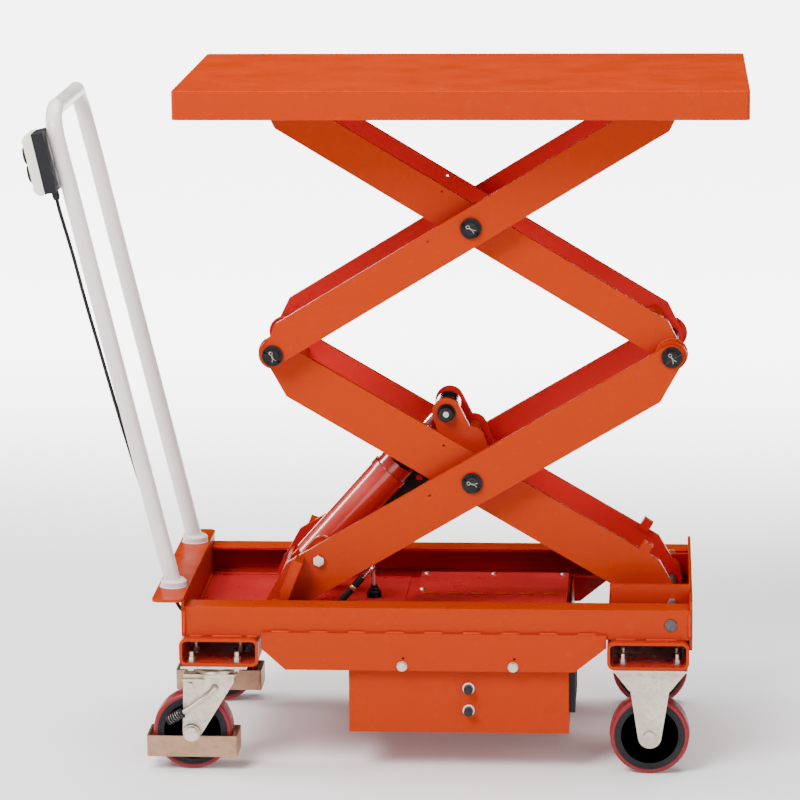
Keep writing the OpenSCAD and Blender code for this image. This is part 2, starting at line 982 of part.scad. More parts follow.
// Wheel core with a hub, a web and a rim
module core(x, side) {
    color(black)
        translate([x, side * track, axle_z])
            rotate([90, 0, 0])
                rotate_extrude($fn = 96)
                    polygon([[7 + fit, -fork_in + 5], [14, -fork_in + 5], [16, -8], [40, -7],
                        [46, -wheel_w / 2], [wheel_r - 8, -wheel_w / 2], [wheel_r - 8, wheel_w / 2],
                        [46, wheel_w / 2], [40, 7], [16, 8], [14, fork_in - 5], [7 + fit, fork_in - 5]]);
}

module tyre(x, side) {
    color(red)
        translate([x, side * track, axle_z])
            rotate([90, 0, 0])
                rotate_extrude($fn = 96)
                    polygon([[wheel_r - 8, -wheel_w / 2], [wheel_r - 4, -wheel_w / 2],
                        [wheel_r - 1, -wheel_w / 2 + 3], [wheel_r, 0], [wheel_r - 1, wheel_w / 2 - 3],
                        [wheel_r - 4, wheel_w / 2], [wheel_r - 8, wheel_w / 2]]);
}

module core_left_near() { core(swivel_x - trail, -1); }
module core_left_far() { core(swivel_x - trail, 1); }
module core_right_near() { core(fixed_x, -1); }
module core_right_far() { core(fixed_x, 1); }
module tyre_left_near() { tyre(swivel_x - trail, -1); }
module tyre_left_far() { tyre(swivel_x - trail, 1); }
module tyre_right_near() { tyre(fixed_x, -1); }
module tyre_right_far() { tyre(fixed_x, 1); }

// ---------- handle and controls ----------

// Half of the handle's path, from the foot to the middle of the top bar
function leg_path(side) = [[foot_x - 0.8, side * handle_hw, flange_z + 3.3],
    [foot_x - 60, side * handle_hw, flange_z + 256],
    [foot_x - 120, side * handle_hw, flange_z + 512],
    [-503.5, side * handle_hw, 945],
    [-518, side * handle_hw, 1005],
    [-525.5, side * (handle_hw - 3), 1038],
    [lean_x, side * (handle_hw - 16), 1060],
    [lean_x, side * (handle_hw - 38), handle_top],
    [lean_x, side * (handle_hw - 70), handle_top]];
function reversed(p) = [for (i = [len(p) - 1 : -1 : 0]) p[i]];

module handle() {
    path = smooth(concat(leg_path(-1), reversed(leg_path(1))), 4);
    color(white) {
        swept_tube(path, tube_r, 24, [1, 0, 0.2]);
        for (side = [-1, 1])
            translate([foot_x, side * handle_hw, flange_z]) {
                cylinder(r = 21, h = 9);
                translate([0, 0, 9])
                    cylinder(r1 = 21, r2 = 17, h = 4);
            }
    }
}

// Frame of the control box: x out of its back towards the user, z along the leg
module control_frame() {
    translate([box_mid[0], box_y, box_mid[1]])
        rotate([0, -box_lean, 0])
            children();
}

module control_back() {
    color(grey)
        control_frame()
            difference() {
                box_between([-19.5, -control_w / 2, -control_h / 2], [0, control_w / 2, control_h / 2]);
                box_between([-20.5, -control_w / 2 + 2.5, -control_h / 2 + 2.5],
                    [-2.5, control_w / 2 - 2.5, control_h / 2 - 2.5]);
            }
}

module control_cover() {
    color(white)
        control_frame()
            difference() {
                translate([-19.5, 0, 0])
                    rotate([0, -90, 0])
                        hull() {
                            translate([-control_h / 2 - 0.5, -control_w / 2 - 0.5, 0])
                                cube([control_h + 1, control_w + 1, 9]);
                            translate([-control_h / 2 + 6, -control_w / 2 + 6, 0])
                                cube([control_h - 12, control_w - 12, 17]);
                        }
                box_between([-34, -control_w / 2 + 8, -control_h / 2 + 8],
                    [-19, control_w / 2 - 8, control_h / 2 - 8]);
                for (z = [-15, 15])
                    translate([-40, 0, z])
                        rotate([0, 90, 0])
                            cylinder(r = 11.5, h = 30);
            }
}

module push_button(z) {
    color(black)
        control_frame()
            translate([-42, 0, z])
                rotate([0, 90, 0]) {
                    cylinder(r1 = 8, r2 = 11, h = 3);
                    translate([0, 0, 3])
                        cylinder(r = 11, h = 17);
                }
}

module raise_button() { push_button(15); }
module lower_button() { push_button(-15); }

// Gland under the control box and grommets in the end plate
module cable_glands() {
    color(grey) {
        translate(cable_route[0])
            rotate([0, -box_lean, 0]) {
                cylinder(r1 = 4.5, r2 = 6, h = 6);
                translate([0, 0, 6])
                    cylinder(r = 6, h = 8);
            }
        difference() {
            translate([-354, -122, flange_z - 7])
                cylinder(r = 7, h = 9);
            translate([-354, -122, flange_z - 8])
                cylinder(r = 4.5, h = 11);
        }
        translate([left_x, -122, 236])
            rotate([0, -90, 0])
                cylinder(r = 7, h = 5);
    }
}

module cable() {
    color(black)
        swept_tube(smooth(cable_route, 4), cable_r, 8);
}

rails();
end_plates();
floor_tray();
skirts();
caster_channels();
battery_box();
battery_lid();
battery();
motor();
pump();
charger();
frame_bolts();
hose();
lowering_valve();
fuse_holders();
handle();
control_back();
control_cover();
cable_glands();
cable();
pivot_shaft();
caster_plates();
right_forks();
raise_button();
lower_button();
lower_inner_arms();
lower_inner_tubes();
ram_bracket();
lower_inner_pins();
lower_outer_arms();
roller_carrier();
mid_right_axle();
arm_bolts();
upper_outer_arms();
upper_centre_pins();
upper_inner_arms();
upper_inner_tubes();
table_top();
table_rails();
table_shaft();
ram_rod();
ram_barrel();
service_prop();
base_rollers();
table_rollers();
left_fork_near();
left_fork_far();
guard_near();
guard_far();
lever_near();
lever_far();
core_left_near();
core_left_far();
core_right_near();
core_right_far();
tyre_left_near();
tyre_left_far();
tyre_right_near();
tyre_right_far();
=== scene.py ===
import json
import math
import bmesh
import bpy
from mathutils import Matrix, Vector


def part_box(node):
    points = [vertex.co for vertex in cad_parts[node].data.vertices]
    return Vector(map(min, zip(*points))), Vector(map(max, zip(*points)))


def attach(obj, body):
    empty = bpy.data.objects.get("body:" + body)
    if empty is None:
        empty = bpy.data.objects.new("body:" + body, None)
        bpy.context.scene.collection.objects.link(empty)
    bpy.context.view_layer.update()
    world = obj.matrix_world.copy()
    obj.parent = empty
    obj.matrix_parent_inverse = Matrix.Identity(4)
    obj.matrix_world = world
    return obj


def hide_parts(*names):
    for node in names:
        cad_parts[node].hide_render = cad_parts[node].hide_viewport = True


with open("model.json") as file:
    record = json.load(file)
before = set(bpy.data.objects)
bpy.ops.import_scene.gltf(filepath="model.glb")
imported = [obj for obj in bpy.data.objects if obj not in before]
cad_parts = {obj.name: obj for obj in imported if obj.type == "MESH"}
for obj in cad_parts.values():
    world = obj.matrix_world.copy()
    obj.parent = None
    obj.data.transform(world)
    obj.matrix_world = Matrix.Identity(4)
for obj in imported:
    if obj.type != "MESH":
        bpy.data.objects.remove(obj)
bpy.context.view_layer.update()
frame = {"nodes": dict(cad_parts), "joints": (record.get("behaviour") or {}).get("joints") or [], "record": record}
NODES, RECORD = frame["nodes"], frame["record"]
BODY_OF = {n: b for b, names in RECORD["behaviour"]["bodies"].items() for n in names}
SLOT_OF = {s["node"]: s["material_slot"] for s in RECORD["subparts"]}
JOINTS = {j["name"]: j for j in frame["joints"]}


def joint_at(name):
    return Vector(JOINTS[name]["pos_m"])


# ---------------------------------------------------------------- camera
CAMERA_AT, LENS = (0.4319, -6.1445, 1.8739), 171.37
YAW, PITCH, ROLL = math.radians(-3.905), math.radians(11.929), math.radians(-0.528)
forward = Vector((math.sin(YAW) * math.cos(PITCH), math.cos(YAW) * math.cos(PITCH), -math.sin(PITCH)))
level = Vector((math.cos(YAW), -math.sin(YAW), 0))
upward = level.cross(forward)
right = level * math.cos(ROLL) + upward * math.sin(ROLL)
up = upward * math.cos(ROLL) - level * math.sin(ROLL)
camera = bpy.data.objects.new("camera", bpy.data.cameras.new("camera"))
camera.data.lens, camera.data.sensor_width = LENS, 36
camera.matrix_world = Matrix.Translation(CAMERA_AT) @ Matrix(
    (right, up, -forward)).transposed().to_4x4()
bpy.context.scene.collection.objects.link(camera)
bpy.context.scene.camera = camera


# ---------------------------------------------------------------- mesh helpers
def new_object(name, bm, body, material=None, smooth=50):
    """A piece from a bmesh: edges under the smooth angle are shaded soft."""
    mesh = bpy.data.meshes.new(name)
    bmesh.ops.recalc_face_normals(bm, faces=bm.faces)
    for edge in bm.edges:
        edge.smooth = len(edge.link_faces) == 2 and edge.calc_face_angle(0) < math.radians(smooth)
    for face in bm.faces:
        face.smooth = True
    bm.to_mesh(mesh)
    bm.free()
    obj = bpy.data.objects.new(name, mesh)
    bpy.context.scene.collection.objects.link(obj)
    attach(obj, body)
    if material:
        mesh.materials.append(material)
    return obj


def catmull(points, parts):
    """A smooth curve through points, with parts steps between each two."""
    pts, out = [Vector(p) for p in points], []
    for i in range(len(pts) - 1):
        a, b, c, d = pts[max(i - 1, 0)], pts[i], pts[i + 1], pts[min(i + 2, len(pts) - 1)]
        for j in range(parts):
            t = j / parts
            out.append(0.5 * (2 * b + (c - a) * t + (2 * a - 5 * b + 4 * c - d) * t ** 2
                              + (3 * b - a - 3 * c + d) * t ** 3))
    return out + [pts[-1]]


def tube_into(bm, path, radius, sides=12):
    """Sweeps a round section along path; radius is a number or a function of the ring's index."""
    rings, n = [], len(path)
    side = None
    for i, p in enumerate(path):
        t = (path[min(i + 1, n - 1)] - path[max(i - 1, 0)]).normalized()
        if side is None:
            side = t.orthogonal().normalized()
        side = (side - t * side.dot(t)).normalized()
        other = t.cross(side)
        r = radius(i) if callable(radius) else radius
        rings.append([bm.verts.new(p + r * (math.cos(a) * side + math.sin(a) * other))
                      for a in (2 * math.pi * k / sides for k in range(sides))])
    for a, b in zip(rings, rings[1:]):
        for k in range(sides):
            bm.faces.new((a[k], a[(k + 1) % sides], b[(k + 1) % sides], b[k]))
    bm.faces.new(rings[0][::-1])
    bm.faces.new(rings[-1])


def lathe_into(bm, profile, base, axis, sides=32):
    """Turns (radius, height) pairs about an axis; ends close on the axis."""
    axis = Vector(axis).normalized()
    side = axis.orthogonal().normalized()
    other, base = axis.cross(side), Vector(base)
    rings = []
    for r, h in profile:
        if r < 1e-6:
            rings.append([bm.verts.new(base + axis * h)])
        else:
            rings.append([bm.verts.new(base + axis * h + r * (math.cos(a) * side + math.sin(a) * other))
                          for a in (2 * math.pi * k / sides for k in range(sides))])
    for a, b in zip(rings, rings[1:]):
        for k in range(sides):
            j = (k + 1) % sides
            quad = [a[k % len(a)], a[j % len(a)], b[j % len(b)], b[k % len(b)]]
            bm.faces.new([v for i, v in enumerate(quad) if v not in quad[:i]])
    for ring, flip in ((rings[0], True), (rings[-1], False)):
        if len(ring) > 2:
            bm.faces.new(ring[::-1] if flip else ring)


RIPPLE = 0.0022                     # from one ripple of a weld bead to the next


def bead_into(bm, start, end, radius):
    """A weld bead: a rippled tube between two points."""
    start, end = Vector(start), Vector(end)
    count = max(6, int((end - start).length / RIPPLE))
    path = [start.lerp(end, i / count) for i in range(count + 1)]

    def ripple(i):
        fade = min(1, i / 2, (count - i) / 2)
        return radius * (0.45 + 0.4 * fade + 0.15 * (i % 2))
    tube_into(bm, path, ripple, 8)


def ring_bead_into(bm, centre, axis, ring_r, radius, sides=40):
    """A weld bead around a ring."""
    axis = Vector(axis).normalized()
    side = axis.orthogonal().normalized()
    other, centre = axis.cross(side), Vector(centre)
    path = [centre + ring_r * (math.cos(a) * side + math.sin(a) * other)
            for a in (2 * math.pi * k / sides for k in range(sides + 1))]
    tube_into(bm, path, lambda i: radius * (0.85 + 0.15 * (i % 2)), 8)


def skin(node, material, bevel=0.0012, segments=2, smooth=35):
    """A copy of a CAD node with its edges rounded, which stands for the node."""
    bm = bmesh.new()
    bm.from_mesh(NODES[node].data)
    bmesh.ops.remove_doubles(bm, verts=bm.verts, dist=1e-5)
    bmesh.ops.dissolve_limit(bm, angle_limit=math.radians(0.8), verts=bm.verts, edges=bm.edges)
    obj = new_object(node + "_finish", bm, BODY_OF[node], material, smooth)
    mod = obj.modifiers.new("edges", "BEVEL")
    mod.width, mod.segments, mod.limit_method = bevel, segments, "ANGLE"
    mod.angle_limit, mod.harden_normals = math.radians(32), True
    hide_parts(node)
    return obj


# ---------------------------------------------------------------- control cable
CABLE_ROUTE = [(-526, -150, 930), (-521, -150, 908), (-503, -150, 842), (-485, -150, 768),
               (-464, -148, 687), (-443, -144, 604), (-422, -136, 522), (-400, -128, 440),
               (-374, -124, 360), (-359, -122, 316), (-354, -122, 289), (-353, -122, 270),
               (-348, -122, 252), (-336, -122, 238)]
cable_path = catmull([Vector(p) / 1000 for p in CABLE_ROUTE], 6)
bm = bmesh.new()
tube_into(bm, cable_path, 0.003, 14)
cable = new_object("control_cable", bm, "base")
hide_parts("cable")


# ---------------------------------------------------------------- materials
class Shader:
    """Builds one procedural material on a Principled shader."""

    def __init__(self, name, color, rough, metal=0.0, coat=0.0, ior=1.5, gloss=0.5):
        self.mat = bpy.data.materials.new(name)
        self.mat.use_nodes = True
        self.tree = self.mat.node_tree
        self.bsdf = self.tree.nodes["Principled BSDF"]
        self.bsdf.inputs["Base Color"].default_value = (*color, 1)
        self.bsdf.inputs["Roughness"].default_value = rough
        self.bsdf.inputs["Metallic"].default_value = metal
        self.bsdf.inputs["Coat Weight"].default_value = coat
        self.bsdf.inputs["Coat Roughness"].default_value = 0.08
        self.bsdf.inputs["IOR"].default_value = ior
        self.bsdf.inputs["Specular IOR Level"].default_value = gloss
        self.coords = self.tree.nodes.new("ShaderNodeTexCoord").outputs["Object"]
        self.color = self.bsdf.inputs["Base Color"]
        self.height = None

    def node(self, kind, **values):
        made = self.tree.nodes.new(kind)
        for key, value in values.items():
            if key.startswith("_"):
                made.inputs[key[1:].replace("_", " ")].default_value = value
            else:
                setattr(made, key, value)
        return made

    def link(self, a, b):
        self.tree.links.new(a, b)

    def noise(self, scale, detail=3.0, stretch=(1, 1, 1), low=0.35, high=0.65, distort=0.0):
        """A noise mask from 0 to 1."""
        place = self.node("ShaderNodeMapping")
        place.inputs["Scale"].default_value = stretch
        self.link(self.coords, place.inputs["Vector"])
        tex = self.node("ShaderNodeTexNoise", _Scale=scale, _Detail=detail, _Distortion=distort)
        self.link(place.outputs[0], tex.inputs["Vector"])
        span = self.node("ShaderNodeMapRange", clamp=True)
        span.inputs["From Min"].default_value, span.inputs["From Max"].default_value = low, high
        self.link(tex.outputs["Fac"], span.inputs["Value"])
        return span.outputs["Result"]

    def mix(self, mask, second, amount=1.0):
        """Mixes a second colour over what the base colour has now, where the mask is white."""
        mixer = self.node("ShaderNodeMix", data_type="RGBA")
        weight = self.node("ShaderNodeMath", operation="MULTIPLY")
        weight.inputs[1].default_value = amount
        self.link(mask, weight.inputs[0])
        self.link(weight.outputs[0], mixer.inputs["Factor"])
        if self.color.is_linked:
            self.link(self.color.links[0].from_socket, mixer.inputs["A"])
        else:
            mixer.inputs["A"].default_value = self.color.default_value
        mixer.inputs["B"].default_value = (*second, 1)
        self.link(mixer.outputs["Result"], self.color)
        return self

    def rough(self, mask, low, high):
        span = self.node("ShaderNodeMapRange")
        span.inputs["To Min"].default_value, span.inputs["To Max"].default_value = low, high
        self.link(mask, span.inputs["Value"])
        self.link(span.outputs["Result"], self.bsdf.inputs["Roughness"])
        return self

    def bump(self, mask, depth):
        """Adds a height of depth metres where the mask is white."""
        made = self.node("ShaderNodeBump", _Strength=1.0, _Distance=depth)
        self.link(mask, made.inputs["Height"])
        if self.height:
            self.link(self.height, made.inputs["Normal"])
        self.height = made.outputs["Normal"]
        self.link(self.height, self.bsdf.inputs["Normal"])
        return self

    def inward_shade_mask(self):
        """White on faces that look towards the part's middle plane: the mask for the painted redder inner shade.
        """
        parts = []
        for vector in (self.coords, self.coords.node.outputs["Normal"]):
            split = self.node("ShaderNodeSeparateXYZ")
            self.link(vector, split.inputs[0])
            parts.append(split.outputs["Y"])
        product = self.node("ShaderNodeMath", operation="MULTIPLY")
        for part, slot in zip(parts, product.inputs):
            self.link(part, slot)
        span = self.node("ShaderNodeMapRange", clamp=True)
        span.inputs["From Min"].default_value, span.inputs["From Max"].default_value = -0.01, -0.05
        self.link(product.outputs[0], span.inputs["Value"])
        return span.outputs["Result"]

    def crevice_shade_mask(self, reach, low, high):
        """White in corners that open surfaces don't reach: the mask for painted shade."""
        found = self.node("ShaderNodeAmbientOcclusion", samples=6)
        found.inputs["Distance"].default_value = reach
        span = self.node("ShaderNodeMapRange", clamp=True)
        span.inputs["From Min"].default_value, span.inputs["From Max"].default_value = high, low
        self.link(found.outputs["AO"], span.inputs["Value"])
        return span.outputs["Result"]


DUST = (0.9, 0.45, 0.25)


def enamel(name, color, shade, dust, peel=0.00003, coat=0.05, gloss=0.05):
    """Sprayed paint: painted shade deeper in corners, with faint dust, orange peel and a painted redder shade on
    inner faces.
    """
    s = Shader(name, color, 0.34, coat=coat, gloss=gloss)
    s.mix(s.noise(2.5, 2), shade, 0.07)
    s.mix(s.noise(90, 4, low=0.6, high=0.8), dust, 0.03)
    # Painted shade: the paint turns towards the shade colour in corners that open surfaces don't reach.
    s.mix(s.crevice_shade_mask(0.10, 0.30, 0.85), shade, 0.5)
    # Painted shade: orange paints turn redder on faces that look towards the middle plane, standing in for red
    # light bounced between the arms.
    if color[1] < 0.1:
        s.mix(s.inward_shade_mask(), INNER_SHADE, 0.7)
    s.rough(s.noise(14, 4), 0.26, 0.42)
    s.bump(s.noise(5, 1), 0.0004).bump(s.noise(700, 2), peel)
    return s.mat


def metal(name, color, rough, dark, grain=(1, 1, 1), flake=180, depth=0.00003):
    """Bare or plated metal with darker flakes and painted shade in its corners; grain stretches the flakes."""
    s = Shader(name, color, rough, metal=1.0)
    s.mix(s.noise(25, 4), dark, 0.45)
    s.mix(s.noise(flake, 3, grain, 0.45, 0.7), dark, 0.35)
    # Painted shade: the metal turns darker in corners that open surfaces don't reach.
    s.mix(s.crevice_shade_mask(0.02, 0.4, 0.9), dark, 0.6)
    s.rough(s.noise(flake, 3, grain), rough * 0.8, min(1, rough * 1.35))
    s.bump(s.noise(flake * 3, 2, grain), depth)
    return s.mat


def plastic(name, color, rough, light, grain=900, depth=0.00003, gloss=0.4):
    """Moulded plastic, rubber or cast iron with a fine grain."""
    s = Shader(name, color, rough, gloss=gloss)
    s.mix(s.noise(30, 3), light, 0.18)
    s.mix(s.noise(160, 4, low=0.6, high=0.75), light, 0.15)
    s.rough(s.noise(40, 3), rough * 0.85, min(1, rough * 1.2))
    s.bump(s.noise(grain, 2), depth)
    return s.mat


# The second colour is the painted shade in corners and the darker end of the random tone; the third is the painted
# redder shade on faces that look inward.
ORANGE, DEEP, INNER_SHADE = (0.38, 0.029, 0.0001), (0.34, 0.003, 0.020), (0.46, 0.006, 0.016)
paint = enamel("orange_enamel", ORANGE, DEEP, DUST)
M = {
    "orange_paint": paint,
    "white_paint": enamel("white_enamel", (0.74, 0.68, 0.67), (0.50, 0.40, 0.39),
                          (0.88, 0.85, 0.84), coat=0.3, gloss=0.4),
    "zinc": metal("zinc_plate", (0.72, 0.63, 0.53), 0.38, (0.44, 0.36, 0.29)),
    "steel": metal("turned_steel", (0.30, 0.29, 0.29), 0.35, (0.16, 0.15, 0.15), (1, 8, 1), 120),
    "chrome": metal("hard_chrome", (0.85, 0.85, 0.86), 0.12, (0.6, 0.6, 0.62), (1, 1, 6), 300, 0.000008),
    "black_steel": metal("black_oxide", (0.035, 0.033, 0.035), 0.42, (0.012, 0.011, 0.012)),
    "cast_core": plastic("cast_black", (0.014, 0.013, 0.015), 0.5, (0.04, 0.036, 0.04), 400, 0.0002, 0.2),
    "tan_steel": metal("passivated_strip", (0.50, 0.31, 0.20), 0.42, (0.34, 0.20, 0.13), (1, 1, 1.5), 60),
    "black_plastic": plastic("black_plastic", (0.009, 0.009, 0.011), 0.3, (0.03, 0.03, 0.034), gloss=0.25),
    "grey_plastic": plastic("dark_moulding", (0.010, 0.010, 0.013), 0.5, (0.026, 0.026, 0.03), gloss=0.2),
    "white_plastic": plastic("ivory_moulding", (0.78, 0.75, 0.66), 0.4, (0.88, 0.86, 0.8), 1200, 0.00002),
    "rubber": plastic("black_rubber", (0.008, 0.0075, 0.008), 0.6, (0.025, 0.023, 0.023), 1500, 0.00004, 0.2),
}
tread = Shader("tread_red", (0.24, 0.009, 0.016), 0.36, gloss=0.35)
tread.mix(tread.noise(18, 4), (0.15, 0.006, 0.01), 0.5)
tread.mix(tread.noise(120, 5, low=0.58, high=0.72), (0.40, 0.06, 0.05), 0.2)
tread.rough(tread.noise(60, 4), 0.34, 0.6).bump(tread.noise(500, 3), 0.00006)
M["tyre_red"] = tread.mat
M["dull_zinc"] = metal("aged_zinc", (0.45, 0.41, 0.34), 0.45, (0.2, 0.18, 0.15))
gloss_paint = enamel("gloss_enamel", (0.42, 0.016, 0.006), DEEP, DUST, 0.00001, 1.0, 0.5)
# Painted shade: a redder, crimson copy of the orange paint for the floor tray and the battery lid, standing in for
# red light bounced inside the base.
inner_shaded_paint = enamel("inner_shaded_enamel", (0.52, 0.020, 0.020), DEEP, (0.9, 0.45, 0.35), 0.00002, 0.5, 0.3)
M["dark_steel"] = metal("dark_steel", (0.13, 0.115, 0.12), 0.5, (0.05, 0.045, 0.05))
M["brass"] = metal("brass_ring", (0.75, 0.42, 0.16), 0.35, (0.5, 0.25, 0.1))
weld_mat = enamel("painted_weld", (0.46, 0.036, 0.0008), DEEP, DUST, 0.00012)
cable.data.materials.append(M["rubber"])

# ---------------------------------------------------------------- CAD nodes, with rounded edges
# width of the rounding in metres, and its segments
BEVELS = {"rails": (0.0035, 4), "table_top": (0.0025, 4), "caster_channels": (0.0012, 2),
          "skirts": (0.0014, 2), "battery_box": (0.0018, 3), "end_plates": (0.0016, 3),
          "lower_inner_arms": (0.0016, 3), "lower_outer_arms": (0.0016, 3),
          "upper_inner_arms": (0.0016, 3), "upper_outer_arms": (0.0016, 3), "ram_bracket": (0.0016, 3),
          "control_cover": (0.0025, 4), "control_back": (0.0015, 3), "ram_barrel": (0.0008, 2),
          "battery_lid": (0.0008, 2), "frame_bolts": (0.0005, 1)}
SMALL_BEVEL = (0.0007, 2)
SPECIAL = {"pivot_shaft": M["dark_steel"], "ram_barrel": gloss_paint,
           "floor_tray": inner_shaded_paint, "battery_lid": inner_shaded_paint}
PLAIN = {"handle", "cable", "ram_rod", "hose", "lever_near", "lever_far"}
for name, obj in NODES.items():
    material = M[SLOT_OF[name]]
    if name in PLAIN:
        if name != "cable":
            obj.data.materials.clear()
            obj.data.materials.append(material)
        continue
    width, segments = BEVELS.get(name, SMALL_BEVEL)
    skin(name, SPECIAL.get(name, material), width, segments)

# ---------------------------------------------------------------- places on the scissor
ROLLER, LOW, LIFT = joint_at("base_roller_spin"), joint_at("lower_scissor"), joint_at("lift")
MID_LEFT, HIGH = joint_at("mid_pivot"), joint_at("upper_scissor")
MID_RIGHT = Vector((LIFT.x, 0, MID_LEFT.z))
RISING, FALLING = (LOW - ROLLER).normalized(), (LIFT - LOW).normalized()
Y_AXIS = Vector((0, 1, 0))


def on_arm(centre, along, s, n, y):
    """A point s along and n above an arm's pin line, in metres."""
    above = Vector((-along.z, 0, along.x)) if along.x > 0 else Vector((along.z, 0, -along.x))
    p = centre + along * s + above * n
    return Vector((p.x, y, p.z))


def beads(name, body, lines=(), rings=(), radius=0.0022):
    """Painted weld beads, along lines and around rings, as one piece."""
    bm = bmesh.new()
    for start, end in lines:
        bead_into(bm, start, end, radius)
    for centre, axis, r in rings:
        ring_bead_into(bm, centre, axis, r, radius)
    return new_object(name, bm, body, weld_mat)


def turned(name, body, material, shapes, sides=32):
    """One piece made of turned shapes: (profile, base, axis) each."""
    bm = bmesh.new()
    for profile, base, axis in shapes:
        lathe_into(bm, profile, base, axis, sides)
    return new_object(name, bm, body, material, 35)


def mm(*values):
    return tuple(v / 1000 for v in values)


# ---------------------------------------------------------------- welds
rail_lo, rail_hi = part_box("rails")
skirt_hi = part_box("skirts")[1]
SEAM_Y = 0.2205                     # just outside the rails' outer faces
STITCH, STITCH_PITCH = 30, 62        # millimetres
CHANNEL_SEAMS = ((-318, -296), (-282, -232), (-226, -208), (372, 404), (420, 470))
stitches = []
for side in (-1, 1):
    y, z = side * (skirt_hi.y - 0.0035), skirt_hi.z + 0.0005
    for x in range(-185, 350, STITCH_PITCH):
        stitches.append(((x / 1000, y, z), ((x + STITCH) / 1000, y, z)))
    for x0, x1 in CHANNEL_SEAMS:
        stitches.append(((x0 / 1000, side * (SEAM_Y + 0.001), 0.227),
                         (x1 / 1000, side * (SEAM_Y + 0.001), 0.227)))
    for x in (rail_lo.x - 0.0002, rail_hi.x + 0.0002):
        stitches.append(((x, side * SEAM_Y, rail_lo.z + 0.004), (x, side * SEAM_Y, rail_hi.z - 0.005)))
    stitches.append(((-0.325, side * 0.172, 0.2295), (-0.205, side * 0.172, 0.2295)))
    stitches.append(((0.4895, side * 0.159, 0.236), (0.4895, side * 0.159, 0.272)))
stitches.append(((-0.3255, -0.165, 0.2295), (-0.3255, 0.165, 0.2295)))
beads("frame_welds", "base", stitches, radius=0.003)

BOSS_Y, BOSS_R = 0.0888, 0.0243      # where the spacer bosses meet the inner arms
rings_low = [((LOW.x, side * 0.0775, LOW.z), Y_AXIS, 0.0305) for side in (-1, 1)]
for centre in (LOW, MID_LEFT):
    rings_low += [((centre.x, side * BOSS_Y, centre.z), Y_AXIS, BOSS_R) for side in (-1, 1)]
rings_low += [((LOW.x, side * y, LOW.z), Y_AXIS, 0.0308)
              for side in (-1, 1) for y in (0.0447, 0.0543)]
beads("lower_inner_welds", "lower_inner", rings=rings_low)
beads("upper_inner_welds", "upper_inner", rings=[
    ((c.x, side * BOSS_Y, c.z), Y_AXIS, BOSS_R) for c in (HIGH, MID_RIGHT) for side in (-1, 1)])
WEB_ANGLE = math.radians(35.6)
WEB_AT, WEB_EDGE = (-0.331, 0.030), 0.0076    # the slanted web's middle; just outside its faces
PLATE_FACES = (-0.3605, -0.3515)     # just outside both faces of the cross plate
web_lines = []
for side in (-1, 1):
    for edge in (-WEB_EDGE, WEB_EDGE):
        ends = [on_arm(LOW, RISING, WEB_AT[0] + t * math.cos(WEB_ANGLE) - edge * math.sin(WEB_ANGLE),
                       WEB_AT[1] + t * math.sin(WEB_ANGLE) + edge * math.cos(WEB_ANGLE), side * 0.1206)
                for t in (-0.042, 0.026)]
        web_lines.append(tuple(ends))
    for s in PLATE_FACES:
        web_lines.append(tuple(on_arm(LOW, RISING, s, n, side * 0.109) for n in (-0.012, 0.029)))
beads("carrier_welds", "lower_outer", web_lines, radius=0.0026)


# ---------------------------------------------------------------- pins
END_Y = 0.1284                       # just outside the pins' ends


def cotters(name, body, centres, tilt):
    """A split pin across each pin head: an eye with two legs that part."""
    bm = bmesh.new()
    for i, c in enumerate(centres):
        for side in (-1, 1):
            turn = Matrix.Rotation(tilt + i, 3, "Y")
            middle = Vector((c.x, side * END_Y, c.z))
            ring_bead_into(bm, middle + turn @ Vector((-0.0055, 0, 0)), (0, 1, 0), 0.0026, 0.0009, 16)
            for part in (-1, 1):
                leg = [Vector(v) for v in ((-0.003, 0, part * 0.0004), (0.002, 0, part * 0.0006),
                                           (0.006, -side * 0.0003, part * 0.0016),
                                           (0.0085, -side * 0.0008, part * 0.0034))]
                tube_into(bm, [turn @ v + middle for v in catmull(leg, 3)], 0.0008, 8)
    return new_object(name, bm, body, M["dull_zinc"])


cotters("cotters_lower", "lower_inner", [LOW, MID_LEFT], 0.2)
cotters("cotters_mid_right", "lower_outer", [MID_RIGHT], 1.0)
cotters("cotters_upper", "upper_inner", [HIGH], 0.6)
ram_high = on_arm(LOW, FALLING, -0.0935, 0.0615, 0)
sides_of_ram = [((ram_high.x, side * 0.0681, ram_high.z), (0, side, 0)) for side in (-1, 1)]
head = [(0.0050, -0.001), (0.0050, 0.0006), (0.0072, 0.0012), (0.0112, 0.0010), (0.0119, 0.0),
        (0.0119, -0.004)]
turned("ram_pin_heads", "lower_inner", M["black_steel"],
       [(head, place, axis) for place, axis in sides_of_ram])
socket = [(0.0, 0.0008), (0.0022, 0.0008), (0.0030, 0.0014), (0.0048, 0.0014), (0.0052, 0.0008),
          (0.0052, -0.001)]
turned("ram_pin_centres", "lower_inner", M["zinc"],
       [(socket, place, axis) for place, axis in sides_of_ram])

